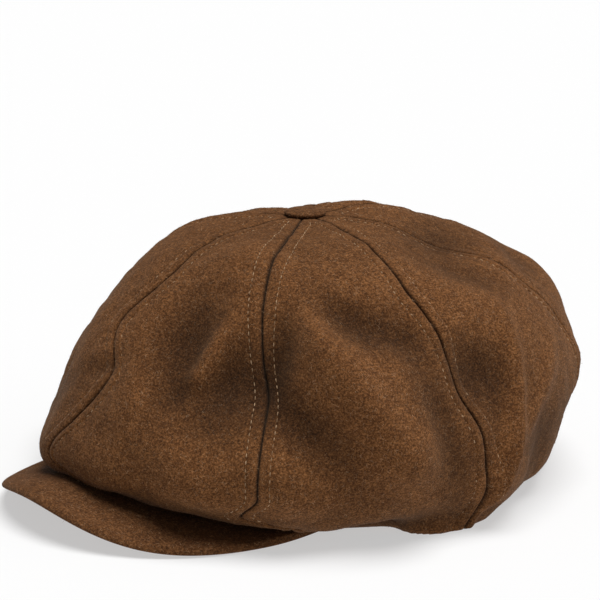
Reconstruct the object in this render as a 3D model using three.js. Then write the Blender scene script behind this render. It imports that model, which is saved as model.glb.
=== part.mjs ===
// Flat cap of wool cloth: a full crown of eight gored panels, a cloth-covered button and a stiff peak.
// Millimetres, +Z up. The peak points to -Y and +X is the wearer's left.
// An azimuth runs round the crown in degrees: 0 at the front, 90 at the wearer's left, 180 at the back.
// "along" is measured over the cloth from the button, down the side, under the fold and up the hem.

import * as THREE from 'three';

// Driving dimensions

const headHalfWidth = 86;       // half width of the opening
const headHalfLength = 99.5;    // half length of the opening, a head of about 58 cm round
const clothWall = 2.4;          // melton cloth
const seamGap = 0.3;            // left between pieces that touch
const panelCount = 8;
const panelColumns = 10;        // facets across one panel
const panelPuff = 3;            // how far a panel swells between its two seams
const puffPower = 2.2;

const buttonRadius = 10.3;
const buttonFoot = 9.3;         // radius of its flat underside
const buttonHeight = 3.8;
const buttonEdge = 1.4;         // height of the button's rim under its dome
const buttonSides = 24;

const peakDepth = 61;           // from the opening to the front edge, on the centre line
const peakHalfAngle = 67;       // azimuth where the peak ends
const peakWall = 4;             // board with cloth on both sides
const peakSidePower = 2.75;     // how fast its depth falls off sideways
const peakTipPower = 1.35;      // how pointed its two ends are
const peakFrontRise = 17.4;     // height of its middle layer at the front edge
const peakSideRise = 2.2;       // the same at its two sides, where it rests
const peakArchPower = 3.2;      // how narrow the raised middle of its front edge is
const peakArchSpan = 1.5;       // the rise ends at the half angle divided by this
const peakBow = 3.3;            // it bulges this much between root and edge
const peakRootDrop = 0.6;       // the root lies this far under the rim, besides the gap
const peakColumns = 28;

const drapeGap = 0.8;           // the cloth stays this far off the top of the peak
const drapeSlope = 0.15;        // share of the opening in which it comes down from the peak's edge
const drapeEnd = 0.2;           // share of the half angle in which it comes down past the peak's ends

// Ovals of the crown from the button down, in the order of the cloth. "rows" is how many facet rows
// follow until the next oval. Where "lift" isn't 0, the front of the oval is raised by that much.
const crownOvals = [
  { at: 'button seat', height: 131, front: 4, back: 4, halfWidth: 4, lift: 0, rows: 2 },
  { at: 'flat top', height: 130.5, front: 30, back: 34, halfWidth: 31, lift: 0, rows: 3 },
  { at: 'top edge', height: 126.5, front: 57, back: 68, halfWidth: 61, lift: 0, rows: 3 },
  { at: 'crown slope', height: 114, front: 83, back: 99, halfWidth: 89, lift: 0, rows: 3 },
  { at: 'shoulder', height: 94, front: 106, back: 123, halfWidth: 111, lift: 0, rows: 3 },
  { at: 'upper belly', height: 72, front: 121, back: 136, halfWidth: 124, lift: 0, rows: 2 },
  { at: 'belly', height: 50, front: 129, back: 140, halfWidth: 129, lift: 0, rows: 2 },
  { at: 'lower belly', height: 30, front: 130, back: 134, halfWidth: 127, lift: 0.5, rows: 2 },
  { at: 'haunch', height: 12, front: 125, back: 126, halfWidth: 120, lift: 8.9, rows: 2 },
  { at: 'fold', height: 1, front: 114, back: 117, halfWidth: 110, lift: 14.8, rows: 2 },
  { at: 'under fold', height: -0.4, front: 105, back: 107, halfWidth: 96, lift: 14.3, rows: 2 },
  {
    at: 'rim', height: 4, front: headHalfLength, back: headHalfLength, halfWidth: headHalfWidth,
    lift: 9.5, rows: 1,
  },
  { at: 'hem', height: 16, front: 99, back: 99, halfWidth: 85.3, lift: 9.5, rows: 0 },
];
const liftCentre = -2.1;           // azimuth where the front is raised most
const liftSpread = 59;          // degrees to either side in which that fades

// The seams stand evenly round the crown, the first at the front and the next on the wearer's left. Each
// wanders from its even azimuth by so many degrees where it crosses these ovals.
const seams = [
  { slope: 3, shoulder: -1.6, upper: 4.5, belly: -0.8, lower: -8.7, haunch: 5.8, fold: -7.3 },
  { slope: -4.5, shoulder: -2.9, upper: -0.1, belly: 0.4, lower: 0.5, haunch: -3.4, fold: 7 },
  { slope: -4.6, shoulder: -0.3, upper: 0.6, belly: 3.6, lower: 4.7, haunch: 5.1, fold: 3.6 },
  { slope: -1, shoulder: -0.2, upper: 1, belly: 2.3, lower: 3, haunch: 3, fold: 3 },
  { slope: 2, shoulder: -0.2, upper: -2, belly: -1.6, lower: -1, haunch: -0.3, fold: 0 },
  { slope: 0, shoulder: 1.1, upper: 2, belly: 2, lower: 2, haunch: 2, fold: 2 },
  { slope: -2, shoulder: -0.3, upper: 1, belly: -1.2, lower: -3, haunch: -3, fold: -3 },
  { slope: 1, shoulder: -0.7, upper: -2, belly: -0.1, lower: 2, haunch: 2.8, fold: 3 },
];

// Dents and folds of the cloth. Each is a soft oval mark round a point of the crown. Its half length and
// half width are where it has faded to a third, its long axis is turned by "slant" from level towards the
// floor, and "depth" is outwards, so that a dent is negative.
const folds = [
  { name: 'right slump', azimuth: -59.6, along: 112, slant: 0, length: 66, width: 40, depth: -16 },
  { name: 'knuckle hollow', azimuth: -30.2, along: 164, slant: -2, length: 41, width: 24, depth: -10.1 },
  { name: 'front right pinch', azimuth: -37.4, along: 134, slant: -9, length: 36, width: 27, depth: -9.9 },
  { name: 'front haunch', azimuth: -9.9, along: 189, slant: -25, length: 34, width: 18, depth: 8.7 },
  { name: 'back corner', azimuth: 156, along: 106, slant: 0, length: 28, width: 16, depth: -5.5 },
  { name: 'rear shoulder', azimuth: 166.6, along: 122, slant: 0, length: 30, width: 22, depth: 5.8 },
  { name: 'back slope dip', azimuth: 134.5, along: 62, slant: 0, length: 36, width: 24, depth: -8.8 },
  { name: 'rise behind button', azimuth: 210.7, along: 38, slant: 0, length: 34, width: 24, depth: 5.3 },
  { name: 'far top dip', azimuth: 234.5, along: 55, slant: 0, length: 46, width: 28, depth: -12.3 },
  { name: 'peak end tuck', azimuth: 76.9, along: 224, slant: 0, length: 24, width: 16, depth: -2.9 },
  { name: 'side arch', azimuth: 73.4, along: 230, slant: 0, length: 18, width: 12, depth: -9.1 },
  { name: 'side foot', azimuth: 87.8, along: 230, slant: 0, length: 22, width: 12, depth: 16.1 },
  { name: 'side haunch', azimuth: 102.5, along: 224, slant: 0, length: 19, width: 13, depth: 2.8 },
  { name: 'back lower tuck', azimuth: 116.3, along: 225, slant: 0, length: 30, width: 14, depth: -5.9 },
  { name: 'back side tuck', azimuth: 132.6, along: 180, slant: -14, length: 40, width: 23, depth: -4.3 },
  { name: 'rear side swell', azimuth: 136.2, along: 160, slant: 0, length: 17, width: 18, depth: 5.1 },
  { name: 'front hollow', azimuth: 20.6, along: 118, slant: 102, length: 27, width: 18, depth: -8.8 },
  { name: 'front ridge', azimuth: 28.5, along: 128, slant: 108, length: 20, width: 10, depth: 7.4 },
  { name: 'left valley', azimuth: 34.8, along: 137, slant: -8, length: 27, width: 27, depth: -15.5 },
  { name: 'valley curl', azimuth: 23.7, along: 146, slant: -55, length: 9, width: 10, depth: -3.9 },
  { name: 'middle valley', azimuth: 47.2, along: 121, slant: 100, length: 25, width: 10, depth: -7.5 },
  { name: 'right valley', azimuth: 52.5, along: 155, slant: 41, length: 26, width: 13, depth: -7.1 },
  { name: 'long ridge', azimuth: 62.7, along: 134, slant: 55, length: 51, width: 11, depth: 7.9 },
  { name: 'upper side hollow', azimuth: 70, along: 109, slant: 23, length: 35, width: 13, depth: -8.1 },
  { name: 'seam side hollow', azimuth: 83.5, along: 152, slant: 77, length: 39, width: 10, depth: -5.6 },
  { name: 'rear side hollow', azimuth: 96.2, along: 141, slant: 63, length: 21, width: 18, depth: -9.9 },
  { name: 'rear ridge', azimuth: 101.6, along: 170, slant: 108, length: 47, width: 10, depth: 6.1 },
  { name: 'rear fold', azimuth: 110.3, along: 162, slant: 139, length: 36, width: 10, depth: 3.3 },
  { name: 'rear valley', azimuth: 114.3, along: 186, slant: 73, length: 26, width: 15, depth: -4.6 },
  { name: 'upper back hollow', azimuth: 113.8, along: 90, slant: 47, length: 24, width: 14, depth: -4.8 },
  { name: 'lower front swell', azimuth: 12.8, along: 156, slant: 94, length: 20, width: 13, depth: 2.1 },
  { name: 'lower front bulge', azimuth: 31.7, along: 184, slant: 24, length: 23, width: 14, depth: 7.4 },
  { name: 'lower side bulge', azimuth: 50.1, along: 184, slant: 31, length: 23, width: 14, depth: 6.4 },
  { name: 'hem roll hollow', azimuth: 80.3, along: 221, slant: -7, length: 24, width: 15, depth: -4.1 },
  { name: 'top front swell', azimuth: 28.9, along: 73, slant: -16, length: 20, width: 16, depth: 5.6 },
  { name: 'front low swell', azimuth: 3.2, along: 204, slant: -1, length: 18, width: 12, depth: 4.4 },
  { name: 'front mid swell', azimuth: 11.4, along: 187, slant: 0, length: 18, width: 12, depth: 5 },
  { name: 'side low hollow', azimuth: 58.9, along: 200, slant: 0, length: 18, width: 12, depth: -1.7 },
  { name: 'side mid swell', azimuth: 74.2, along: 173, slant: 0, length: 16, width: 12, depth: 5.1 },
  { name: 'rear low swell', azimuth: 100.3, along: 195, slant: 0, length: 18, width: 12, depth: 4.5 },
];

const woolColour = '#5f3f26';
const peakColour = '#583a23';

// Small mathematics

const degree = Math.PI / 180;

const clamp = (value, low, high) => Math.min(Math.max(value, low), high);

const mix = (from, to, share) => from + (to - from) * share;

const smooth = (share) => share * share * (3 - 2 * share);

// The shorter way round from one azimuth to another, in degrees
const turnBetween = (azimuth, other) => ((azimuth - other + 540) % 360) - 180;

// A value that changes evenly between knots, looked up by its place
function lookUp(place, places, values) {
  if (place <= places[0]) {
    return values[0];
  }
  for (let i = 1; i < places.length; i += 1) {
    if (place <= places[i]) {
      return mix(values[i - 1], values[i], (place - places[i - 1]) / (places[i] - places[i - 1]));
    }
  }
  return values[values.length - 1];
}

// A smooth curve through knots that never overshoots them
function steadyCurve(places, values) {
  const last = places.length - 1;
  const slopes = [];
  for (let i = 0; i < last; i += 1) {
    slopes.push((values[i + 1] - values[i]) / (places[i + 1] - places[i]));
  }
  const tangents = [slopes[0]];
  for (let i = 1; i < last; i += 1) {
    const product = slopes[i - 1] * slopes[i];
    tangents.push(product > 0 ? 2 * product / (slopes[i - 1] + slopes[i]) : 0);
  }
  tangents.push(slopes[last - 1]);
  return (place) => {
    const here = clamp(place, places[0], places[last]);
    let i = 0;
    while (i < last - 1 && here > places[i + 1]) {
      i += 1;
    }
    const span = places[i + 1] - places[i];
    const t = (here - places[i]) / span;
    const start = values[i] * (1 + 2 * t) * (1 - t) ** 2 + values[i + 1] * t * t * (3 - 2 * t);
    return start + span * (tangents[i] * t * (1 - t) ** 2 - tangents[i + 1] * t * t * (1 - t));
  };
}

// The crown's ovals joined into one smooth surface

const ovalColumns = ['height', 'front', 'back', 'halfWidth', 'lift'];

// One column of the table between two ovals, as a curve through the four nearest ones
function ovalValue(column, step) {
  const last = crownOvals.length - 1;
  const i = clamp(Math.floor(step), 0, last - 1);
  const t = step - i;
  const b = crownOvals[i][column];
  const c = crownOvals[i + 1][column];
  const a = i > 0 ? crownOvals[i - 1][column] : 2 * b - c;
  const d = i < last - 1 ? crownOvals[i + 2][column] : 2 * c - b;
  const bend = 2 * a - 5 * b + 4 * c - d;
  const twist = 3 * b - a - 3 * c + d;
  return b + 0.5 * (t * (c - a) + t * t * bend + t * t * t * twist);
}

function ovalAt(step) {
  return Object.fromEntries(ovalColumns.map((column) => [column, ovalValue(column, step)]));
}

// Length over the cloth from the button, measured on the mean outline of the crown
const meridian = { steps: [], along: [], reach: [] };
const meridianSamples = 1200;
for (let i = 0; i <= meridianSamples; i += 1) {
  const step = i / meridianSamples * (crownOvals.length - 1);
  const oval = ovalAt(step);
  const reach = (oval.front + oval.back + 2 * oval.halfWidth) / 4;
  if (i === 0) {
    meridian.along.push(0);
  } else {
    const rise = oval.height - meridian.height;
    const run = reach - meridian.reach[i - 1];
    meridian.along.push(meridian.along[i - 1] + Math.hypot(rise, run));
  }
  meridian.steps.push(step);
  meridian.reach.push(reach);
  meridian.height = oval.height;
}

const alongOf = {};
crownOvals.forEach((oval, index) => {
  alongOf[oval.at] = lookUp(index, meridian.steps, meridian.along);
});
const hemEnd = alongOf.hem;

// Where each column of the seam table holds, along the cloth
const swayPlaces = {
  slope: 'crown slope',
  shoulder: 'shoulder',
  upper: 'upper belly',
  belly: 'belly',
  lower: 'lower belly',
  haunch: 'haunch',
  fold: 'fold',
};
const swayKnots = Object.values(swayPlaces).map((name) => alongOf[name]);
const seamKnots = [0, 0.35 * alongOf['crown slope'], ...swayKnots, hemEnd];
const seamCurves = seams.map((seam) => {
  const sways = Object.keys(swayPlaces).map((column) => seam[column]);
  return steadyCurve(seamKnots, [0, 0.5 * seam.slope, ...sways, seam.fold]);
});

// A panel lies flat at the button, swells over the belly and is flat again under the fold.
const puffRows = ['upper belly', 'lower belly', 'fold', 'under fold'].map((name) => alongOf[name]);
const puffCurve = steadyCurve([0, 0.5 * alongOf.shoulder, ...puffRows, hemEnd], [0, 0.3, 1, 1, 0.5, 0, 0]);
const foldFade = steadyCurve([0, 8, 20, alongOf.fold, alongOf['under fold'], hemEnd], [0, 0, 1, 1, 0, 0]);

// Azimuth of a point between two seams: turn 0 is the front seam, turn 1 the next one, and so on
function azimuthAt(turn, along) {
  const index = Math.floor(turn);
  const share = smooth(turn - index);
  const before = seamCurves[(index + panelCount) % panelCount](along);
  const after = seamCurves[(index + 1 + panelCount) % panelCount](along);
  return turn * 360 / panelCount + mix(before, after, share);
}

const liftShare = (azimuth) => Math.exp(-((turnBetween(azimuth, liftCentre) / liftSpread) ** 2));

// A point of the crown before dents, on one oval between the front and back reach
function smoothPoint(azimuth, along) {
  const oval = ovalAt(lookUp(along, meridian.along, meridian.steps));
  const mean = (oval.front + oval.back) / 2;
  const lead = (oval.front - oval.back) / 2;
  const cosine = Math.cos(azimuth * degree);
  return new THREE.Vector3(
    oval.halfWidth * Math.sin(azimuth * degree),
    -(mean * cosine + lead * cosine * cosine),
    oval.height + oval.lift * liftShare(azimuth),
  );
}

function outwardNormal(azimuth, along) {
  const nudge = 0.06;
  const reach = 0.5;
  const across = smoothPoint(azimuth + nudge, along).sub(smoothPoint(azimuth - nudge, along));
  const down = smoothPoint(azimuth, Math.min(along + reach, hemEnd));
  down.sub(smoothPoint(azimuth, Math.max(along - reach, 0)));
  return down.cross(across).normalize();
}

// How far the cloth stands out at a point, from the panel's swell and every dent and fold
function standOut(turn, azimuth, along) {
  const place = turn - Math.floor(turn);
  const swell = panelPuff * puffCurve(along) * (1 - Math.abs(2 * place - 1) ** puffPower);
  let marks = 0;
  for (const mark of folds) {
    const reach = lookUp(mark.along, meridian.along, meridian.reach);
    const sideways = turnBetween(azimuth, mark.azimuth) * degree * reach;
    const downwards = along - mark.along;
    const cosine = Math.cos(mark.slant * degree);
    const sine = Math.sin(mark.slant * degree);
    const p = (sideways * cosine + downwards * sine) / mark.length;
    const q = (downwards * cosine - sideways * sine) / mark.width;
    marks += mark.depth * Math.exp(-p * p - q * q);
  }
  return swell + marks * foldFade(along);
}

// The peak, in oval coordinates: angle round the opening, and ring 1 at its rim growing outwards

const rimHeight = (azimuth) => smoothPoint(azimuth, alongOf.rim).z;

function peakReach(angle) {
  const share = Math.abs(angle) / peakHalfAngle;
  if (share >= 1) {
    return 0;
  }
  return peakDepth / headHalfLength * (1 - share ** peakSidePower) ** peakTipPower;
}

// Height of the peak's middle layer, "out" running from 0 at its root to 1 at its edge
function peakMiddle(angle, out) {
  const root = rimHeight(angle) - seamGap - peakRootDrop - peakWall / 2;
  const arch = clamp(Math.abs(angle) / peakHalfAngle * peakArchSpan, 0, 1);
  const rise = (peakFrontRise - peakSideRise) * Math.cos(arch * Math.PI / 2) ** peakArchPower;
  const edge = peakSideRise + rise;
  const bow = peakBow * Math.sin(out * Math.PI) * Math.cos(arch * Math.PI / 2);
  return Math.max(mix(root, edge, out) + bow, peakWall / 2);
}

// What the cloth lies on at a place: the floor, or the top of the peak with a sloped way down from it
function restHeight(x, y) {
  const angle = Math.atan2(x / headHalfWidth, -y / headHalfLength) / degree;
  const ring = Math.hypot(x / headHalfWidth, y / headHalfLength);
  const beyond = (Math.abs(angle) / peakHalfAngle - 1) / drapeEnd;
  if (ring < 1 || beyond >= 1) {
    return 0;
  }
  const held = clamp(angle, -peakHalfAngle, peakHalfAngle);
  const reach = peakReach(held);
  const out = reach > 0 ? clamp((ring - 1) / reach, 0, 1) : 1;
  const top = peakMiddle(held, out) + peakWall / 2 + drapeGap;
  const past = clamp((ring - 1 - reach) / drapeSlope, 0, 1);
  return top * (1 - smooth(past)) * (1 - smooth(clamp(beyond, 0, 1)));
}

// Outer and inner face of the crown's cloth at one place, lifted together where they would sink
function clothPoint(turn, along) {
  const azimuth = azimuthAt(turn, along);
  const normal = outwardNormal(azimuth, along);
  const outer = smoothPoint(azimuth, along).addScaledVector(normal, standOut(turn, azimuth, along));
  const inner = outer.clone().addScaledVector(normal, -clothWall);
  const sunk = Math.max(restHeight(outer.x, outer.y) - outer.z, 0);
  outer.z += sunk;
  inner.z += sunk;
  return { outer, inner };
}

// Mesh making

// A closed shell from two equal grids of points, [row][column]; the first grid is the outer face.
function shell(outer, inner) {
  const rows = outer.length;
  const columns = outer[0].length;
  const positions = [];
  for (const grid of [outer, inner]) {
    for (const row of grid) {
      for (const point of row) {
        positions.push(point.x, point.y, point.z);
      }
    }
  }
  const front = (row, column) => row * columns + column;
  const back = (row, column) => (rows + row) * columns + column;
  const faces = [];
  const quad = (a, b, c, d) => faces.push(a, b, c, a, c, d);
  for (let r = 0; r < rows - 1; r += 1) {
    for (let c = 0; c < columns - 1; c += 1) {
      quad(front(r, c), front(r + 1, c), front(r + 1, c + 1), front(r, c + 1));
      quad(back(r, c), back(r, c + 1), back(r + 1, c + 1), back(r + 1, c));
    }
  }
  for (let r = 0; r < rows - 1; r += 1) {
    quad(front(r, 0), back(r, 0), back(r + 1, 0), front(r + 1, 0));
    quad(front(r, columns - 1), front(r + 1, columns - 1), back(r + 1, columns - 1), back(r, columns - 1));
  }
  for (let c = 0; c < columns - 1; c += 1) {
    quad(front(0, c), front(0, c + 1), back(0, c + 1), back(0, c));
    quad(front(rows - 1, c), back(rows - 1, c), back(rows - 1, c + 1), front(rows - 1, c + 1));
  }
  const geometry = new THREE.BufferGeometry();
  geometry.setAttribute('position', new THREE.Float32BufferAttribute(positions, 3));
  geometry.setIndex(faces);
  geometry.computeVertexNormals();
  return geometry;
}

function wool(colour) {
  return new THREE.MeshStandardMaterial({ color: colour, roughness: 0.95, metalness: 0 });
}

function named(name, geometry, colour) {
  const mesh = new THREE.Mesh(geometry, wool(colour));
  mesh.name = name;
  return mesh;
}

// Pieces

// Places of the facet rows, evenly spaced between each oval and the next
function rowPlaces() {
  const places = [];
  crownOvals.slice(0, -1).forEach((oval, index) => {
    const from = alongOf[oval.at];
    const to = alongOf[crownOvals[index + 1].at];
    for (let i = 0; i < oval.rows; i += 1) {
      places.push(mix(from, to, i / oval.rows));
    }
  });
  places.push(hemEnd);
  return places;
}

function crownPanel(index) {
  const outer = [];
  const inner = [];
  for (const along of rowPlaces()) {
    const reach = lookUp(along, meridian.along, meridian.reach);
    const trim = seamGap / 2 / (reach * 2 * Math.PI / panelCount);
    const outerRow = [];
    const innerRow = [];
    for (let i = 0; i <= panelColumns; i += 1) {
      const turn = index + mix(trim, 1 - trim, i / panelColumns);
      const point = clothPoint(turn, along);
      outerRow.push(point.outer);
      innerRow.push(point.inner);
    }
    outer.push(outerRow);
    inner.push(innerRow);
  }
  return named(`crown_panel_${index + 1}`, shell(outer, inner), woolColour);
}

function button() {
  const domeSteps = 6;
  const profile = [new THREE.Vector2(0, 0), new THREE.Vector2(buttonFoot, 0)];
  for (let i = 0; i < domeSteps; i += 1) {
    const turn = i / domeSteps * Math.PI / 2;
    const height = buttonEdge + (buttonHeight - buttonEdge) * Math.sin(turn);
    profile.push(new THREE.Vector2(buttonRadius * Math.cos(turn), height));
  }
  profile.push(new THREE.Vector2(0, buttonHeight));
  const geometry = new THREE.LatheGeometry(profile, buttonSides);
  geometry.rotateX(Math.PI / 2);
  return geometry;
}

// The button sits on the highest cloth that lies under it.
function seatedButton() {
  const tipReach = crownOvals[0].halfWidth;
  let seat = 0;
  for (let turn = 0; turn < panelCount; turn += 0.5) {
    for (const along of [0, (buttonFoot - tipReach) / 2, buttonFoot - tipReach]) {
      seat = Math.max(seat, clothPoint(turn, along).outer.z);
    }
  }
  const mesh = named('button', button(), woolColour);
  mesh.position.z = seat + seamGap;
  return mesh;
}

// Ring places of the peak's facets and the share of its wall that is left there, thinner at the edge
const peakSection = [
  { out: 0, wall: 1 },
  { out: 0.22, wall: 1 },
  { out: 0.45, wall: 1 },
  { out: 0.68, wall: 1 },
  { out: 0.88, wall: 1 },
  { out: 0.97, wall: 0.85 },
  { out: 1, wall: 0.4 },
];
const peakEnd = 0.985;          // the last sliver at each end is left off
const peakThinFrom = 0.75;      // from this share of the half angle the board stops and only cloth goes on
const peakThinWall = 0.6;

function peak() {
  const top = [];
  const under = [];
  for (let i = 0; i <= peakColumns; i += 1) {
    const angle = mix(-1, 1, i / peakColumns) * peakEnd * peakHalfAngle;
    const reach = peakReach(angle);
    const past = clamp((Math.abs(angle) / peakHalfAngle - peakThinFrom) / (1 - peakThinFrom), 0, 1);
    const halfWall = peakWall / 2 * mix(1, peakThinWall, smooth(past));
    const topRow = [];
    const underRow = [];
    for (const { out, wall } of peakSection) {
      const ring = 1 + reach * out;
      const x = headHalfWidth * ring * Math.sin(angle * degree);
      const y = -headHalfLength * ring * Math.cos(angle * degree);
      const middle = peakMiddle(angle, out);
      topRow.push(new THREE.Vector3(x, y, middle + wall * halfWall));
      underRow.push(new THREE.Vector3(x, y, middle - wall * halfWall));
    }
    top.push(topRow);
    under.push(underRow);
  }
  return named('peak', shell(under, top), peakColour);
}

// Assembly

const cap = new THREE.Group();
for (let index = 0; index < panelCount; index += 1) {
  cap.add(crownPanel(index));
}
cap.add(seatedButton());
cap.add(peak());

// The origin is under the middle of the whole cap, on the surface it rests on.
cap.updateMatrixWorld(true);
const box = new THREE.Box3().setFromObject(cap, true);
const middle = box.getCenter(new THREE.Vector3());
cap.position.set(-middle.x, -middle.y, -box.min.z);

export default cap;
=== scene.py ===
import math

import bpy
import numpy as np
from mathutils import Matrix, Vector


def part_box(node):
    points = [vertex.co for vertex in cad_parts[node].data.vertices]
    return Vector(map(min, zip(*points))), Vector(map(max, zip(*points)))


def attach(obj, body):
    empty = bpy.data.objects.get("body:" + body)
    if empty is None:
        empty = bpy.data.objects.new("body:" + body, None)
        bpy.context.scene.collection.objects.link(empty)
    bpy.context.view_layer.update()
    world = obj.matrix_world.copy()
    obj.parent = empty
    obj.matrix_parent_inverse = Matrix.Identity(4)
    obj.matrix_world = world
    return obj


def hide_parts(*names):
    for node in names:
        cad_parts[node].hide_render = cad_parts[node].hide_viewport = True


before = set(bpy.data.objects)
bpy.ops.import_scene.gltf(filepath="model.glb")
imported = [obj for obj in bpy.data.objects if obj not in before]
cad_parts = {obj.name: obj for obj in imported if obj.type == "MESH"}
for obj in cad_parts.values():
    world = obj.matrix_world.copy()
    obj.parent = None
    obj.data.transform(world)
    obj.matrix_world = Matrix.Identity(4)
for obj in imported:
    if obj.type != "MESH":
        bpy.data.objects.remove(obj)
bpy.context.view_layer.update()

buttonLow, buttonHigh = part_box("button")
# the button marks the middle of the crown, so everything is laid out from it, in millimetres
crownAxis = np.array([(buttonLow.x + buttonHigh.x) / 2, (buttonLow.y + buttonHigh.y) / 2, 0.0])
mm = 0.001
degree = math.pi / 180


# small maths

def lookUp(place, places, values):
    return np.interp(place, places, values)


def smooth(share):
    share = np.clip(share, 0, 1)
    return share * share * (3 - 2 * share)


def mix(a, b, share):
    return a + (b - a) * share


def turnBetween(azimuth, other):
    return (azimuth - other + 540) % 360 - 180


def steadyCurve(places, values):
    # smooth through its knots and never past them
    places, values = np.array(places, float), np.array(values, float)
    slopes = np.diff(values) / np.diff(places)
    tangents = np.zeros(len(places))
    tangents[0], tangents[-1] = slopes[0], slopes[-1]
    for i in range(1, len(slopes)):
        product = slopes[i - 1] * slopes[i]
        tangents[i] = 2 * product / (slopes[i - 1] + slopes[i]) if product > 0 else 0

    def at(place):
        here = np.clip(place, places[0], places[-1])
        i = np.clip(np.searchsorted(places, here, side="right") - 1, 0, len(slopes) - 1)
        span = places[i + 1] - places[i]
        t = (here - places[i]) / span
        start = values[i] * (1 + 2 * t) * (1 - t) ** 2 + values[i + 1] * t * t * (3 - 2 * t)
        return start + span * (tangents[i] * t * (1 - t) ** 2 - tangents[i + 1] * t * t * (1 - t))

    return at


# crown

crown = {
    "panels": 8,
    "wall": 2.4,
    "puff": 3.0,            # how far each panel swells between its seams
    "puffPower": 2.2,
    "headHalfWidth": 86.0,
    "headHalfLength": 99.5,
    "liftCentre": -2.1,     # the front lies on the peak, so it is lifted about this azimuth
    "liftSpread": 59,
    "gap": 0.15,            # between a panel's edge and the middle of its seam
}

# ovals from the button down: name, height, front, back, half width, front lift
crownOvals = [
    ("button seat", 131, 4, 4, 4, 0),
    ("flat top", 130.5, 30, 34, 31, 0),
    ("top edge", 126.5, 57, 68, 61, 0),
    ("crown slope", 114, 83, 99, 89, 0),
    ("shoulder", 94, 106, 123, 111, 0),
    ("upper belly", 72, 121, 136, 124, 0),
    ("belly", 50, 129, 140, 129, 0),
    ("lower belly", 30, 130, 134, 127, 0.5),
    ("haunch", 12, 125, 126, 120, 8.9),
    ("fold", 1, 114, 117, 110, 14.8),
    ("under fold", -0.4, 105, 107, 96, 14.3),
    ("rim", 4, 99.5, 99.5, 86, 9.5),
    ("hem", 16, 99, 99, 85.3, 9.5),
]

# degrees that each seam wanders at the slope, shoulder, upper belly, belly, lower belly, haunch and fold
seamSway = [
    (3, -1.6, 4.5, -0.8, -8.7, 5.8, -7.3),
    (-4.5, -2.9, -0.1, 0.4, 0.5, -3.4, 7),
    (-4.6, -0.3, 0.6, 3.6, 4.7, 5.1, 3.6),
    (-1, -0.2, 1, 2.3, 3, 3, 3),
    (2, -0.2, -2, -1.6, -1, -0.3, 0),
    (0, 1.1, 2, 2, 2, 2, 2),
    (-2, -0.3, 1, -1.2, -3, -3, -3),
    (1, -0.7, -2, -0.1, 2, 2.8, 3),
]

# dents and folds: name, azimuth, mm along the cloth, slant, half length, half width, depth outwards
clothMarks = [
    ("right slump", -59.6, 112, 0, 66, 40, -16),
    ("knuckle hollow", -30.2, 164, -2, 41, 23.6, -10.1),
    ("front right pinch", -37.4, 134, -9, 36, 27.1, -9.9),
    ("front haunch", -9.9, 189, -25, 34, 17.7, 8.7),
    ("back corner", 156, 106, 0, 28, 16, -5.5),
    ("rear shoulder", 166.6, 122, 0, 30, 22, 5.8),
    ("back slope dip", 134.5, 62, 0, 36, 24, -8.8),
    ("rise behind button", 210.7, 38, 0, 34, 24, 5.3),
    ("far top dip", 234.5, 55, 0, 46, 28, -12.3),
    ("peak end tuck", 76.9, 224, 0, 24, 16, -2.9),
    ("side arch", 73.4, 230, 0, 18, 12, -9.1),
    ("side foot", 87.8, 230, 0, 22, 12, 16.1),
    ("side haunch", 102.5, 224, 0, 19, 13.3, 2.8),
    ("back lower tuck", 116.3, 225, 0, 30, 14, -5.9),
    ("back side tuck", 132.6, 180, -14, 40, 23, -4.3),
    ("rear side swell", 136.2, 160, 0, 17, 18.2, 5.1),
    ("front hollow", 20.6, 118, 102, 27, 17.8, -8.8),
    ("front ridge", 28.5, 128, 108, 20, 7.1, 7.4),
    ("left valley", 34.8, 137, -8, 27, 27, -15.5),
    ("valley curl", 23.7, 146, -55, 9, 7.7, -3.9),
    ("middle valley", 47.2, 121, 100, 25, 10.3, -7.5),
    ("right valley", 52.5, 155, 41, 26, 12.7, -7.1),
    ("long ridge", 62.7, 134, 55, 51, 10.8, 7.9),
    ("upper side hollow", 70, 109, 23, 35, 13.1, -8.1),
    ("seam side hollow", 83.5, 152, 77, 39, 10.3, -5.6),
    ("rear side hollow", 96.2, 141, 63, 21, 18.5, -9.9),
    ("rear ridge", 101.6, 170, 108, 47, 5, 6.1),
    ("rear fold", 110.3, 162, 139, 36, 6, 3.3),
    ("rear valley", 114.3, 186, 73, 26, 15.2, -4.6),
    ("upper back hollow", 113.8, 90, 47, 24, 14.4, -4.8),
    ("knuckle crease", -1, 145, -21, 16, 5.9, -2.1),
    ("lower front swell", 12.8, 156, 94, 20, 13, 2.1),
    ("lower front bulge", 31.7, 184, 24, 23, 13.7, 7.4),
    ("lower side bulge", 50.1, 184, 31, 23, 13.5, 6.4),
    ("hem roll hollow", 80.3, 221, -7, 24, 14.8, -4.1),
    ("top front swell", 28.9, 73, -16, 20, 16, 5.6),
    ("front low swell", 3.2, 204, -1, 18, 12, 4.4),
    ("front mid swell", 11.4, 187, 0, 18, 12, 5),
    ("side low hollow", 58.9, 200, 0, 18, 12.4, -1.7),
    ("side mid swell", 74.2, 173, 0, 16, 12, 5.1),
    ("rear low swell", 100.3, 195, 0, 18, 12, 4.5),
]

ovalTable = np.array([row[1:] for row in crownOvals], float)


def ovalAt(step):
    # the ovals joined by curves through the four nearest ones
    last = len(ovalTable) - 1
    i = np.clip(np.floor(step).astype(int), 0, last - 1)
    t = (step - i)[..., None]
    b, c = ovalTable[i], ovalTable[i + 1]
    a = np.where((i > 0)[..., None], ovalTable[np.maximum(i - 1, 0)], 2 * b - c)
    d = np.where((i < last - 1)[..., None], ovalTable[np.minimum(i + 2, last)], 2 * c - b)
    return b + 0.5 * (t * (c - a) + t * t * (2 * a - 5 * b + 4 * c - d) + t ** 3 * (3 * b - a - 3 * c + d))


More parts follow.
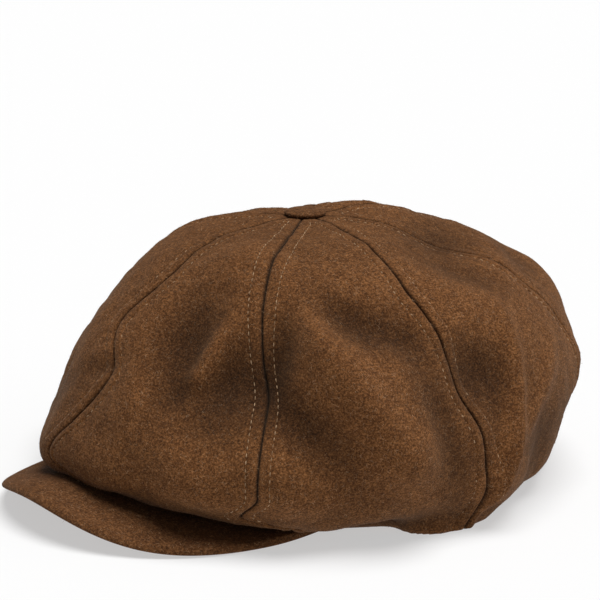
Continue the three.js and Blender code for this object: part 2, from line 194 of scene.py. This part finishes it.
meridianStep = np.linspace(0, len(ovalTable) - 1, 1201)
meridianOval = ovalAt(meridianStep)
meridianReach = (meridianOval[:, 1] + meridianOval[:, 2] + 2 * meridianOval[:, 3]) / 4
meridianSteps = np.hypot(np.diff(meridianReach), np.diff(meridianOval[:, 0]))
meridianAlong = np.concatenate([[0], np.cumsum(meridianSteps)])
alongOf = {row[0]: float(lookUp(i, meridianStep, meridianAlong)) for i, row in enumerate(crownOvals)}
hemEnd = alongOf["hem"]


def reachAt(along):
    return lookUp(along, meridianAlong, meridianReach)


swayPlaces = ["crown slope", "shoulder", "upper belly", "belly", "lower belly", "haunch", "fold"]
seamKnots = [0, 0.35 * alongOf["crown slope"], *[alongOf[name] for name in swayPlaces], hemEnd]
seamCurves = [steadyCurve(seamKnots, [0, 0.5 * row[0], *row, row[-1]]) for row in seamSway]
puffCurve = steadyCurve(
    [0, 0.5 * alongOf["shoulder"], alongOf["upper belly"], alongOf["lower belly"],
     alongOf["fold"], alongOf["under fold"], hemEnd],
    [0, 0.3, 1, 1, 0.5, 0, 0])
markFade = steadyCurve([0, 8, 20, alongOf["fold"], alongOf["under fold"], hemEnd], [0, 0, 1, 1, 0, 0])


def azimuthAt(panel, across, along):
    # across runs from 0 at the panel's first seam to 1 at its second
    before = seamCurves[panel % crown["panels"]](along)
    after = seamCurves[(panel + 1) % crown["panels"]](along)
    return (panel + across) * 360 / crown["panels"] + mix(before, after, smooth(across))


def smoothPoint(azimuth, along):
    oval = ovalAt(lookUp(along, meridianAlong, meridianStep))
    height, front, back, halfWidth, lift = np.moveaxis(oval, -1, 0)
    mean, lead = (front + back) / 2, (front - back) / 2
    cosine, sine = np.cos(azimuth * degree), np.sin(azimuth * degree)
    share = np.exp(-(turnBetween(azimuth, crown["liftCentre"]) / crown["liftSpread"]) ** 2)
    return np.stack([halfWidth * sine, -(mean * cosine + lead * cosine * cosine), height + lift * share], -1)


def unit(vectors):
    return vectors / np.maximum(np.linalg.norm(vectors, axis=-1, keepdims=True), 1e-9)


def outwardNormal(azimuth, along):
    across = smoothPoint(azimuth + 0.06, along) - smoothPoint(azimuth - 0.06, along)
    down = smoothPoint(azimuth, np.minimum(along + 0.5, hemEnd))
    down = down - smoothPoint(azimuth, np.maximum(along - 0.5, 0))
    return unit(np.cross(down, across))


def marksAt(azimuth, along, blur=0.0):
    # all dents and folds together, as they are or spread out over "blur" millimetres
    marks = 0
    for name, atAzimuth, atAlong, slant, halfLength, halfWidth, depth in clothMarks:
        sideways = turnBetween(azimuth, atAzimuth) * degree * reachAt(atAlong)
        downwards = along - atAlong
        cosine, sine = math.cos(slant * degree), math.sin(slant * degree)
        spreadLength, spreadWidth = math.hypot(halfLength, blur), math.hypot(halfWidth, blur)
        p = (sideways * cosine + downwards * sine) / spreadLength
        q = (downwards * cosine - sideways * sine) / spreadWidth
        share = halfLength * halfWidth / spreadLength / spreadWidth
        marks = marks + depth * share * np.exp(-p * p - q * q)
    return marks


def standOut(across, azimuth, along):
    swell = crown["puff"] * puffCurve(along) * (1 - np.abs(2 * across - 1) ** crown["puffPower"])
    return swell + marksAt(azimuth, along) * markFade(along)


# painted light and shade on the folds: how much lighter or darker the cloth's colour is made
paintedShadingLook = {
    "blurs": (15.0, 34.0),      # a fold is judged against the cloth this many mm around it
    "strength": 0.165,          # for each mm that it stands out or lies deep
    "darkest": -0.74,
    "lightest": 0.14,
}


def paintedShadingAt(azimuth, along):
    # painted light and shade: folds that stand out are coloured lighter, and the hollows between them
    # darker, as light and shade would fall on them
    near, far = [marksAt(azimuth, along, blur) for blur in paintedShadingLook["blurs"]]
    raised = (marksAt(azimuth, along) - (near + far) / 2) * markFade(along)
    paintedTone = np.exp(paintedShadingLook["strength"] * raised) - 1
    return np.clip(paintedTone, paintedShadingLook["darkest"], paintedShadingLook["lightest"])


# peak

peak = {
    "depth": 61,                # from the rim to the front edge
    "halfAngle": 67,
    "wall": 4.0,
    "sidePower": 2.75,          # the crescent's outline
    "tipPower": 1.35,
    "frontRise": 17.4,          # height of its edge in the middle and at the sides
    "sideRise": 2.2,
    "archPower": 3.2,
    "archSpan": 1.5,
    "bow": 3.3,
    "rootDrop": 0.9,            # how far its root lies under the rim
    "end": 0.985,
    "thinFrom": 0.75,           # it thins towards its two ends
    "thinWall": 0.6,
    "rollFrom": 0.94,           # its edge is rounded over the last part of the way out
    "rollShare": 0.06,
}


def rimHeight(azimuth):
    return smoothPoint(azimuth, np.full(np.shape(azimuth), alongOf["rim"]))[..., 2]


def peakReach(angle):
    share = np.clip(np.abs(angle) / peak["halfAngle"], 0, 1)
    return peak["depth"] / crown["headHalfLength"] * (1 - share ** peak["sidePower"]) ** peak["tipPower"]


def peakMiddle(angle, out):
    root = rimHeight(angle) - peak["rootDrop"] - peak["wall"] / 2
    arch = np.clip(np.abs(angle) / peak["halfAngle"] * peak["archSpan"], 0, 1)
    cosine = np.cos(arch * math.pi / 2)
    edge = peak["sideRise"] + (peak["frontRise"] - peak["sideRise"]) * cosine ** peak["archPower"]
    bow = peak["bow"] * np.sin(out * math.pi) * cosine
    return np.maximum(mix(root, edge, out) + bow, peak["wall"] / 2)


drape = {"gap": 0.5, "slope": 0.15, "end": 0.2}


def restHeight(x, y):
    # what the cloth lies on: the floor, or the top of the peak with a sloped way down from it
    angle = np.arctan2(x / crown["headHalfWidth"], -y / crown["headHalfLength"]) / degree
    ring = np.hypot(x / crown["headHalfWidth"], y / crown["headHalfLength"])
    beyond = (np.abs(angle) / peak["halfAngle"] - 1) / drape["end"]
    held = np.clip(angle, -peak["halfAngle"], peak["halfAngle"])
    reach = peakReach(held)
    out = np.where(reach > 0, np.clip((ring - 1) / np.maximum(reach, 1e-6), 0, 1), 1)
    top = peakMiddle(held, out) + peak["wall"] / 2 + drape["gap"]
    height = top * (1 - smooth((ring - 1 - reach) / drape["slope"])) * (1 - smooth(beyond))
    return np.where((ring < 1) | (beyond >= 1), 0, height)


def clothPoint(panel, across, along, relief=0.0):
    azimuth = azimuthAt(panel, across, along)
    normal = outwardNormal(azimuth, along)
    outer = smoothPoint(azimuth, along) + normal * (standOut(across, azimuth, along) + relief)[..., None]
    inner = outer - normal * crown["wall"]
    sunk = np.maximum(restHeight(outer[..., 0], outer[..., 1]) - outer[..., 2], 0)
    outer[..., 2] += sunk
    inner[..., 2] += sunk
    return outer, inner


# mesh making

def addPiece(name, points, faces, material, replaces=None, paintedShading=None):
    # points in millimetres from the crown's axis, faces all with four corners
    points = (np.asarray(points, float).reshape(-1, 3) + crownAxis / mm) * mm
    faces = np.asarray(faces, int).reshape(-1, 4)
    mesh = bpy.data.meshes.new(name)
    mesh.vertices.add(len(points))
    mesh.vertices.foreach_set("co", points.ravel())
    mesh.loops.add(faces.size)
    mesh.loops.foreach_set("vertex_index", faces.ravel())
    mesh.polygons.add(len(faces))
    mesh.polygons.foreach_set("loop_start", np.arange(0, faces.size, 4))
    mesh.polygons.foreach_set("use_smooth", np.ones(len(faces), bool))
    mesh.materials.append(material)
    mesh.update(calc_edges=True)
    # the painted light and shade of the folds and seams, kept on the points for the material
    if paintedShading is not None:
        mesh.attributes.new("paintedShading", "FLOAT", "POINT").data.foreach_set("value", np.ravel(paintedShading))
    piece = bpy.data.objects.new(name, mesh)
    bpy.context.scene.collection.objects.link(piece)
    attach(piece, "root")
    if replaces:
        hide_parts(replaces)


def gridFaces(index):
    # seen from outside, rows run down and columns run to the right
    return np.stack([index[:-1, :-1], index[1:, :-1], index[1:, 1:], index[:-1, 1:]], -1).reshape(-1, 4)


def shell(outer, inner, every=1):
    # a sheet with its cut edges from two equal grids of points; the inner face can be coarser
    rows, columns = outer.shape[:2]
    front = np.arange(rows * columns).reshape(rows, columns)
    back = front + front.size
    keptRows = np.unique(np.append(np.arange(0, rows, every), rows - 1))
    keptColumns = np.unique(np.append(np.arange(0, columns, every), columns - 1))
    faces = np.concatenate([
        gridFaces(front),
        gridFaces(back[np.ix_(keptRows, keptColumns)][:, ::-1]),
        gridFaces(np.stack([back[:, 0], front[:, 0]], 1)),
        gridFaces(np.stack([front[:, -1], back[:, -1]], 1)),
        gridFaces(np.stack([back[0], front[0]])),
        gridFaces(np.stack([front[-1], back[-1]])),
    ])
    points = np.concatenate([outer.reshape(-1, 3), inner.reshape(-1, 3)])
    used, places = np.unique(faces, return_inverse=True)
    return points[used], places.reshape(-1, 4), used % front.size


def ringFaces(rings, sides, first=0):
    # tubes and domes: rings of points that close on themselves
    index = first + np.arange(rings * sides).reshape(rings, sides)
    return gridFaces(np.concatenate([index, index[:, :1]], 1))


# materials

def addNode(material, kind, inputs=None, **fields):
    node = material.node_tree.nodes.new(kind)
    for name, value in fields.items():
        setattr(node, name, value)
    for name, value in (inputs or {}).items():
        node.inputs[name].default_value = value
    return node


def colourRamp(material, stops):
    ramp = addNode(material, "ShaderNodeValToRGB")
    elements = ramp.color_ramp.elements
    while len(elements) < len(stops):
        elements.new(0.5)
    for element, (place, colour) in zip(elements, stops):
        element.position = place
        element.color = (*colour, 1)
    return ramp


def paintedShadingColour(material, socket):
    # the colour, made lighter or darker by the painted light and shade of the folds and seams
    paintedShading = addNode(material, "ShaderNodeAttribute", attribute_name="paintedShading")
    factor = addNode(material, "ShaderNodeMath", {1: 1.0}, operation="ADD")
    scaled = addNode(material, "ShaderNodeVectorMath", operation="SCALE")
    links = material.node_tree.links
    links.new(paintedShading.outputs["Fac"], factor.inputs[0])
    links.new(socket, scaled.inputs[0])
    links.new(factor.outputs["Value"], scaled.inputs["Scale"])
    links.new(scaled.outputs["Vector"], material.node_tree.nodes["Principled BSDF"].inputs["Base Color"])


def woolMaterial(name, look):
    # felted wool: mottled fibres, a rough matt surface with a faint bloom, and soft unevenness
    material = bpy.data.materials.new(name)
    material.use_nodes = True
    links = material.node_tree.links
    shader = material.node_tree.nodes["Principled BSDF"]
    shader.inputs["Roughness"].default_value = 0.95
    shader.inputs["Specular IOR Level"].default_value = 0.12
    shader.inputs["Sheen Weight"].default_value = look["bloom"]
    shader.inputs["Sheen Roughness"].default_value = 0.55
    shader.inputs["Sheen Tint"].default_value = (0.85, 0.6, 0.4, 1)
    where = addNode(material, "ShaderNodeTexCoord")
    grain = addNode(material, "ShaderNodeTexNoise", {"Scale": 1100, "Detail": 3, "Roughness": 0.66})
    patches = addNode(material, "ShaderNodeTexNoise", {"Scale": 210, "Detail": 2, "Roughness": 0.5})
    lumps = addNode(material, "ShaderNodeTexNoise", {"Scale": 75, "Detail": 3, "Roughness": 0.55})
    # felted fibres lie every way, so two noises are drawn out along crossing directions
    strands = []
    for turn, scale in (((0.3, 0.9, 0.4), (1, 0.22, 1)), ((1.2, -0.5, 2.0), (0.22, 1, 1))):
        laid = addNode(material, "ShaderNodeMapping", {"Rotation": turn, "Scale": scale})
        strand = addNode(material, "ShaderNodeTexNoise", {"Scale": 1500, "Detail": 2, "Distortion": 0.6})
        links.new(where.outputs["Object"], laid.inputs["Vector"])
        links.new(laid.outputs["Vector"], strand.inputs["Vector"])
        strands.append(strand)
    for noise in (grain, patches, lumps):
        links.new(where.outputs["Object"], noise.inputs["Vector"])
    crossed = addNode(material, "ShaderNodeMath", operation="MAXIMUM")
    links.new(strands[0].outputs["Fac"], crossed.inputs[0])
    links.new(strands[1].outputs["Fac"], crossed.inputs[1])
    felt = addNode(material, "ShaderNodeMix", data_type="FLOAT")
    felt.inputs[0].default_value = 0.45
    links.new(grain.outputs["Fac"], felt.inputs[2])
    links.new(crossed.outputs["Value"], felt.inputs[3])
    tone = colourRamp(material, [(0.39, look["dark"]), (0.52, look["middle"]), (0.665, look["light"])])
    links.new(felt.outputs[0], tone.inputs["Fac"])
    patchTone = colourRamp(material, [(0.35, (0.86, 0.84, 0.82)), (0.65, (1.12, 1.13, 1.14))])
    links.new(patches.outputs["Fac"], patchTone.inputs["Fac"])
    colour = addNode(material, "ShaderNodeMix", data_type="RGBA", blend_type="MULTIPLY")
    colour.inputs[0].default_value = 1
    links.new(tone.outputs["Color"], colour.inputs[6])
    links.new(patchTone.outputs["Color"], colour.inputs[7])
    # painted light and shade of the folds and seams, laid over the cloth's colour
    paintedShadingColour(material, colour.outputs[2])
    fine = addNode(material, "ShaderNodeBump", {"Strength": 0.9, "Distance": 0.00045})
    broad = addNode(material, "ShaderNodeBump", {"Strength": 0.6, "Distance": 0.0009})
    links.new(lumps.outputs["Fac"], broad.inputs["Height"])
    links.new(felt.outputs[0], fine.inputs["Height"])
    links.new(broad.outputs["Normal"], fine.inputs["Normal"])
    links.new(fine.outputs["Normal"], shader.inputs["Normal"])
    return material


def fibreMaterial(name, dark, light, scale):
    # loose hairs and threads, each a little lighter or darker than the next
    material = bpy.data.materials.new(name)
    material.use_nodes = True
    links = material.node_tree.links
    shader = material.node_tree.nodes["Principled BSDF"]
    shader.inputs["Roughness"].default_value = 0.7
    shader.inputs["Specular IOR Level"].default_value = 0.3
    where = addNode(material, "ShaderNodeTexCoord")
    noise = addNode(material, "ShaderNodeTexNoise", {"Scale": scale, "Detail": 1})
    tone = colourRamp(material, [(0.38, dark), (0.62, light)])
    links.new(where.outputs["Object"], noise.inputs["Vector"])
    links.new(noise.outputs["Fac"], tone.inputs["Fac"])
    # the hairs take the painted light and shade of the cloth they grow from
    paintedShadingColour(material, tone.outputs["Color"])
    return material


crownWool = woolMaterial("crownWool", {
    "dark": (0.036, 0.0132, 0.0038),
    "middle": (0.104, 0.041, 0.0128),
    "light": (0.24, 0.104, 0.037),
    "bloom": 0.07,
})
peakWool = woolMaterial("peakWool", {
    "dark": (0.034, 0.0125, 0.0038),
    "middle": (0.094, 0.0375, 0.0125),
    "light": (0.205, 0.09, 0.033),
    "bloom": 0.07,
})
hairFibre = fibreMaterial("hairFibre", (0.13, 0.062, 0.026), (0.42, 0.255, 0.14), 420)
stitchThread = fibreMaterial("stitchThread", (0.2, 0.115, 0.055), (0.44, 0.29, 0.165), 260)


# nap: the loose hairs that stand off the felted cloth

nap = {
    "length": (0.7, 2.9),       # mm, most are short
    "width": (0.05, 0.1),
    "rise": (0.1, 0.5),         # how far the tip stands off the cloth
    "curl": 1.1,                # radians it turns on its way
    "perSquare": 0.42,          # hairs on a square millimetre
    "from": 9,                  # mm along the cloth, under the button's edge
    "to": 236,
}


def napPiece(name, grid, material, chance, paintedShading=None):
    rng = np.random.default_rng(chance)
    a, b, c, d = grid[:-1, :-1], grid[1:, :-1], grid[1:, 1:], grid[:-1, 1:]
    facing = np.cross(c - a, d - b)
    area = np.linalg.norm(facing, axis=-1).ravel() / 2
    count = int(area.sum() * nap["perSquare"])
    cell = rng.choice(area.size, count, p=area / area.sum())
    u, v = rng.random((2, count, 1))
    a, b, c, d = [corner.reshape(-1, 3)[cell] for corner in (a, b, c, d)]
    root = mix(mix(a, b, u), mix(d, c, u), v)
    normal = unit(facing.reshape(-1, 3)[cell])
    east = unit(d - a)
    south = np.cross(east, normal)
    length = nap["length"][0] + (nap["length"][1] - nap["length"][0]) * rng.random((count, 1)) ** 2.2
    width = rng.uniform(*nap["width"], (count, 1))
    rise = rng.uniform(*nap["rise"], (count, 1))
    heading = rng.uniform(0, 2 * math.pi, (count, 1))
    curl = rng.normal(0, nap["curl"], (count, 1))
    places, point = [], root - 0.06 * normal
    for step, (share, thick) in enumerate(((0, 1), (0.33, 1), (0.67, 0.8), (1, 0.25))):
        way = np.cos(heading + curl * share) * east + np.sin(heading + curl * share) * south
        if step:
            point = point + way * length / 3
        lifted = point + normal * rise * math.sin(share * math.pi / 2)
        side = np.cross(way, normal) * width * thick / 2
        places += [lifted - side, lifted + side]
    points = np.stack(places, 1)
    strip = np.array([[0, 2, 3, 1], [2, 4, 5, 3], [4, 6, 7, 5]])
    faces = strip[None] + 8 * np.arange(count)[:, None, None]
    # each hair takes the painted light and shade of the cloth cell it grows from
    if paintedShading is not None:
        paintedShading = np.repeat(paintedShading[:-1, :-1].ravel()[cell], 8)
    addPiece(name, points, faces, material, None, paintedShading)


# crown panels

seamLook = {
    "grooveDepth": 1.4,         # the slit between two panels
    "grooveWidth": 0.46,
    "shade": 0.8,               # painted shade: how much darker the cloth's colour is made down in it
    "shadeWidth": 0.75,
    "rollDepth": 0.45,          # the cloth rolling into it
    "rollWidth": 1.5,
    "bandRise": 0.5,            # the seam allowances under the cloth
    "bandWidth": 5.7,
    "bandSlope": 1.5,
    "opensFrom": 8,             # by the button the seam is only a thin line
    "opensOver": 26,
    "closed": 0.5,
    "stitchAway": 6.4,          # rows of topstitching beside each seam
    "stitchSink": 0.4,
    "stitchWidth": 0.75,
    "pucker": 0.16,
    "puckerWidth": 1.7,
    "pitch": 3.39,              # from one stitch to the next
    "end": 228.0,               # all of it stops under the fold
    "endFade": 12,
}
edgeColumns = np.array([0, 0.2, 0.45, 0.8, 1.3, 2.0, 3.0, 4.2, 5.2, 5.8, 6.4, 7.0, 7.8, 9.6])
middleColumns = 28
rowsPerStitch = 3


def seamRelief(away, along):
    # how far the cloth stands out at a distance from the seam
    look = seamLook
    opened = smooth((along - look["opensFrom"]) / look["opensOver"])
    slit = look["grooveDepth"] * np.exp(-(away / look["grooveWidth"]) ** 1.5)
    slit = slit * mix(look["closed"], 1, opened)
    roll = look["rollDepth"] * np.exp(-(away / look["rollWidth"]) ** 2) * opened
    band = look["bandRise"] * (1 - smooth((away - look["bandWidth"]) / look["bandSlope"]))
    beside = np.exp(-((away - look["stitchAway"]) / look["stitchWidth"]) ** 2)
    wave = np.cos(2 * math.pi * along / look["pitch"])
    pucker = look["pucker"] * wave * np.exp(-((away - look["stitchAway"]) / look["puckerWidth"]) ** 2)
    fade = 1 - smooth((along - look["end"]) / look["endFade"])
    return (band - slit - roll - look["stitchSink"] * beside + pucker) * fade


uneven = {"waves": 26, "height": 0.075, "shortest": 11, "longest": 42}


def softUnevenness(places):
    # worn wool is never quite even: many faint waves that cross each other, in mm
    rng = np.random.default_rng(11)
    total = 0
    for i in range(uneven["waves"]):
        wave = unit(rng.normal(size=3)) * 2 * math.pi / rng.uniform(uneven["shortest"], uneven["longest"])
        total = total + uneven["height"] * np.sin(places @ wave + rng.uniform(0, 2 * math.pi))
    return total


def dressedPoint(panel, across, along, width):
    # a point of the finished cloth, with its seams and its unevenness
    away = np.minimum(across, 1 - across) * width
    waves = softUnevenness(smoothPoint(azimuthAt(panel, across, along), along)) * markFade(along)
    return clothPoint(panel, across, along, seamRelief(away, along) + waves)


rows = int(round(hemEnd * rowsPerStitch / seamLook["pitch"])) + 1
rowPlaces = np.linspace(0, hemEnd, rows)


def panelWidth(panel):
    # width of the panel at each row, over its swell and dents
    outer, _ = clothPoint(panel, *np.broadcast_arrays(np.linspace(0, 1, 25)[None, :], rowPlaces[:, None]))
    return np.linalg.norm(np.diff(outer, axis=1), axis=-1).sum(1)


panelWidths = [panelWidth(panel) for panel in range(crown["panels"])]


def crownPanel(panel):
    width = panelWidths[panel][:, None]
    along = rowPlaces[:, None]
    # near the button the panel is narrower than its two bands, so the columns close up there
    squeeze = np.minimum(1, 0.42 * (width - 2 * crown["gap"]) / edgeColumns[-1])
    left = crown["gap"] + edgeColumns * squeeze
    middle = mix(left[:, -1:], width - left[:, -1:], np.linspace(0, 1, middleColumns + 2)[None, 1:-1])
    columns = np.concatenate([left, middle, width - left[:, ::-1]], 1)
    across, along = np.broadcast_arrays(columns / width, along)
    outer, inner = dressedPoint(panel, across, along, width)
    away = np.minimum(across, 1 - across) * width
    # painted shade: the cloth that turns down into the seam sees no light, so its colour is darkened there
    inSeam = 1 - seamLook["shade"] * np.exp(-(away / seamLook["shadeWidth"]) ** 2)
    # the folds' painted light and shade, with the seam's painted shade on top
    paintedShading = (1 + paintedShadingAt(azimuthAt(panel, across, along), along)) * inSeam - 1
    points, faces, used = shell(outer, inner, 4)
    number = panel + 1
    cloth = f"crown_panel_{number}"
    addPiece(f"wool_panel_{number}", points, faces, crownWool, cloth, paintedShading.ravel()[used])
    seen = (rowPlaces > nap["from"]) & (rowPlaces < nap["to"])
    napPiece(f"nap_panel_{number}", outer[seen], hairFibre, 100 + number, paintedShading[seen])


for panel in range(crown["panels"]):
    crownPanel(panel)
print("crown panels cut and napped")


# topstitching

stitch = {
    "length": 2.2,
    "radius": 0.24,
    "start": 13.0,              # just outside the button
    "end": 213.0,
    "bow": 0.28,                # its middle stands off the cloth, its ends go into it
}
# how deep the thread lies in the wool beside each seam, the front seam first
threadSunk = [0.34, 0.12, 0.34, 0.3, 0.3, 0.3, 0.3, 0.3]


def stitchRow(panel, fromFirst, sunk, rng):
    along = np.arange(stitch["start"], stitch["end"], 0.4)
    width = lookUp(along, rowPlaces, panelWidths[panel])
    share = np.minimum(seamLook["stitchAway"] / width, 0.4)
    across = share if fromFirst else 1 - share
    line, _ = dressedPoint(panel, across, along, width)
    beside, _ = clothPoint(panel, across + 0.01, along)
    bare, _ = clothPoint(panel, across, along)
    normal = unit(np.cross(np.gradient(bare, axis=0), beside - bare))
    travelled = np.concatenate([[0], np.cumsum(np.linalg.norm(np.diff(line, axis=0), axis=-1))])
    starts = np.arange(0.4, travelled[-1] - stitch["length"], seamLook["pitch"])
    starts = starts + rng.uniform(-0.15, 0.15, len(starts))
    shares = np.linspace(0, 1, 6)
    places = starts[:, None] + shares * stitch["length"]
    centre = np.stack([lookUp(places, travelled, line[:, i]) for i in range(3)], -1)
    up = unit(np.stack([lookUp(places, travelled, normal[:, i]) for i in range(3)], -1))
    side = unit(np.cross(unit(centre[:, -1:] - centre[:, :1]), up))
    arc = np.sin(shares * math.pi)
    depth = sunk * rng.uniform(0.6, 1.4, (len(starts), 1, 1))
    centre = centre + up * (stitch["bow"] * arc[:, None] - depth)
    centre = centre + side * rng.uniform(-0.12, 0.12, (len(starts), 1, 1)) * (shares - 0.5)[:, None]
    sides = 6
    turns = np.arange(sides) * 2 * math.pi / sides
    radius = stitch["radius"] * np.maximum(arc, 0.08) ** 0.4
    ring = np.cos(turns)[:, None] * side[:, :, None] + np.sin(turns)[:, None] * up[:, :, None]
    points = centre[:, :, None] + ring * radius[:, None, None]
    return points.reshape(-1, 3), len(starts), len(shares), sides


def topstitching(seam):
    rng = np.random.default_rng(40 + seam)
    points, faces, used = [], [], 0
    for panel, fromFirst in ((seam, True), ((seam - 1) % crown["panels"], False)):
        rowPoints, count, rings, sides = stitchRow(panel, fromFirst, threadSunk[seam], rng)
        for i in range(count):
            faces.append(ringFaces(rings, sides, used + i * rings * sides))
        points.append(rowPoints)
        used += len(rowPoints)
    points, faces = np.concatenate(points), np.concatenate(faces)
    addPiece(f"topstitch_seam_{seam + 1}", points, faces, stitchThread)


for seam in range(crown["panels"]):
    topstitching(seam)
print("seams topstitched")


# peak

def peakPiece():
    angles = mix(-1, 1, np.linspace(0, 1, 161)) * peak["end"] * peak["halfAngle"]
    rollFrom, rollShare = peak["rollFrom"], peak["rollShare"]
    rim = rollFrom + rollShare * np.sin(np.linspace(0, 1, 11)[1:] * math.pi / 2)
    out = np.concatenate([np.linspace(0, rollFrom, 40), rim])
    rounded = np.sqrt(np.clip(1 - ((out - rollFrom) / rollShare) ** 2, 0.0025, 1))
    wall = np.where(out > rollFrom, rounded, 1)
    angle, out = np.meshgrid(angles, out, indexing="ij")
    past = (np.abs(angle) / peak["halfAngle"] - peak["thinFrom"]) / (1 - peak["thinFrom"])
    halfWall = peak["wall"] / 2 * mix(1, peak["thinWall"], smooth(past)) * wall
    ring = 1 + peakReach(angle) * out
    x = crown["headHalfWidth"] * ring * np.sin(angle * degree)
    y = -crown["headHalfLength"] * ring * np.cos(angle * degree)
    middle = peakMiddle(angle, out)
    waves = 0.5 * softUnevenness(np.stack([x, y, 0 * x + 300], -1)) * np.sin(np.clip(out, 0, 1) * math.pi)
    under = np.stack([x, y, middle - halfWall], -1)
    top = np.stack([x, y, middle + halfWall + waves], -1)
    points, faces, _ = shell(under, top)
    addPiece("wool_peak", points, faces, peakWool, "peak")
    napPiece("nap_peak", top[:, ::-1], hairFibre, 200)


peakPiece()
print("peak covered")


# button

button = {
    "radius": 10.3,
    "foot": 8.6,                # radius where it stands on the crown
    "height": 3.8,
    "edge": 1.5,                # height of its widest ring
    "gathers": 18,              # small folds of its cloth, drawn in under the rim
    "gatherDepth": 0.14,
}


def buttonPiece():
    sides = 120
    turns = np.linspace(0, 2 * math.pi, sides, endpoint=False)
    dome = [(math.cos(t), math.sin(t)) for t in np.linspace(0, math.pi / 2, 16)]
    profile = [(0.02, 0.05, 0), (5.0, 0.05, 0), (button["foot"], 0.1, 1), (9.6, 0.5, 1), (10.1, 0.95, 0.8)]
    for across, up in dome:
        # a flat-topped dome: most of its rise is near the rim
        radius = button["radius"] * max(across, 0.002)
        rise = button["edge"] + (button["height"] - button["edge"]) * up ** 0.8
        profile.append((radius, rise, 0.5 * across ** 4))
    points = []
    for radius, height, fold in profile:
        wavy = radius + fold * button["gatherDepth"] * np.sin(turns * button["gathers"])
        points.append(np.stack([wavy * np.cos(turns), wavy * np.sin(turns), 0 * turns + height], -1))
    points = np.array(points)
    points[..., 2] += buttonLow.z / mm
    faces = ringFaces(len(profile), sides)[:, ::-1]
    addPiece("wool_button", points, faces, peakWool, "button")
    napPiece("nap_button", points[5:, ::-1], hairFibre, 300)


buttonPiece()
print("button sewn on")


# floor, light and camera

camera = {
    "azimuth": 54.0,
    "elevation": 15.5,
    "distance": 1200.0,
    "focusPixels": 2400.0,          # focal length in pixels of a 600 pixel frame
    "target": (0.0, 0.0, 65.0),     # point on the crown's axis that falls on the pixel below
    "targetPixel": (305.0, 345.0),
    "frame": 600.0,
}
floorLook = {
    "half": 12.0,               # metres
    "colour": (0.4, 0.4, 0.4, 1),
    "glow": 0.5,                # a bright table, so shadows on it stay pale
}
lighting = {
    "room": 0.14,
    "key": (0.2, 0.92, 0.33, 3.35, 42),      # right, up, towards the camera, strength, spread in degrees
    "fill": (0.8, 0.45, 0.3, 0.3, 60),
}


def placeCamera():
    a, e = camera["azimuth"] * degree, camera["elevation"] * degree
    back = Vector((math.sin(a) * math.cos(e), -math.cos(a) * math.cos(e), math.sin(e)))
    right = Vector((math.cos(a), math.sin(a), 0))
    up = back.cross(right)
    target = Vector(camera["target"]) * mm + Vector(crownAxis)
    place = target + back * camera["distance"] * mm
    half = camera["frame"] / 2
    scale = camera["distance"] * mm / camera["focusPixels"]
    aim = target - right * (camera["targetPixel"][0] - half) * scale
    aim += up * (camera["targetPixel"][1] - half) * scale
    data = bpy.data.cameras.new("camera")
    data.sensor_width = 36
    data.lens = 36 * camera["focusPixels"] / camera["frame"]
    data.clip_end = 30
    eye = bpy.data.objects.new("camera", data)
    eye.location = place
    eye.rotation_euler = (aim - place).to_track_quat("-Z", "Y").to_euler()
    bpy.context.scene.collection.objects.link(eye)
    bpy.context.scene.camera = eye
    return right, up, back


def softSun(name, axes, right, up, back, strength, spread):
    # a soft light whose direction is given in the camera's axes
    light = bpy.data.lights.new(name, "SUN")
    light.energy = strength
    light.angle = spread * degree
    lamp = bpy.data.objects.new(name, light)
    toLight = axes[0] * right + axes[1] * up + axes[2] * back
    lamp.rotation_euler = (-toLight).to_track_quat("-Z", "Y").to_euler()
    bpy.context.scene.collection.objects.link(lamp)


def paleFloor():
    half = floorLook["half"]
    mesh = bpy.data.meshes.new("floor")
    corners = [(-half, -half, 0), (half, -half, 0), (half, half, 0), (-half, half, 0)]
    mesh.from_pydata(corners, [], [(0, 1, 2, 3)])
    floor = bpy.data.objects.new("floor", mesh)
    bpy.context.scene.collection.objects.link(floor)
    material = bpy.data.materials.new("paleFloor")
    material.use_nodes = True
    shader = material.node_tree.nodes["Principled BSDF"]
    shader.inputs["Base Color"].default_value = floorLook["colour"]
    shader.inputs["Emission Color"].default_value = (1, 1, 1, 1)
    shader.inputs["Emission Strength"].default_value = floorLook["glow"]
    shader.inputs["Roughness"].default_value = 0.95
    shader.inputs["Specular IOR Level"].default_value = 0
    mesh.materials.append(material)


paleFloor()
world = bpy.data.worlds.new("softRoom")
world.use_nodes = True
world.node_tree.nodes["Background"].inputs["Color"].default_value = (1, 1, 1, 1)
world.node_tree.nodes["Background"].inputs["Strength"].default_value = lighting["room"]
bpy.context.scene.world = world
cameraAxes = placeCamera()
softSun("keyLight", cameraAxes, *lighting["key"])
softSun("fillLight", cameraAxes, *lighting["fill"])
bpy.context.scene.view_settings.view_transform = "Standard"
print("floor, light and camera set")
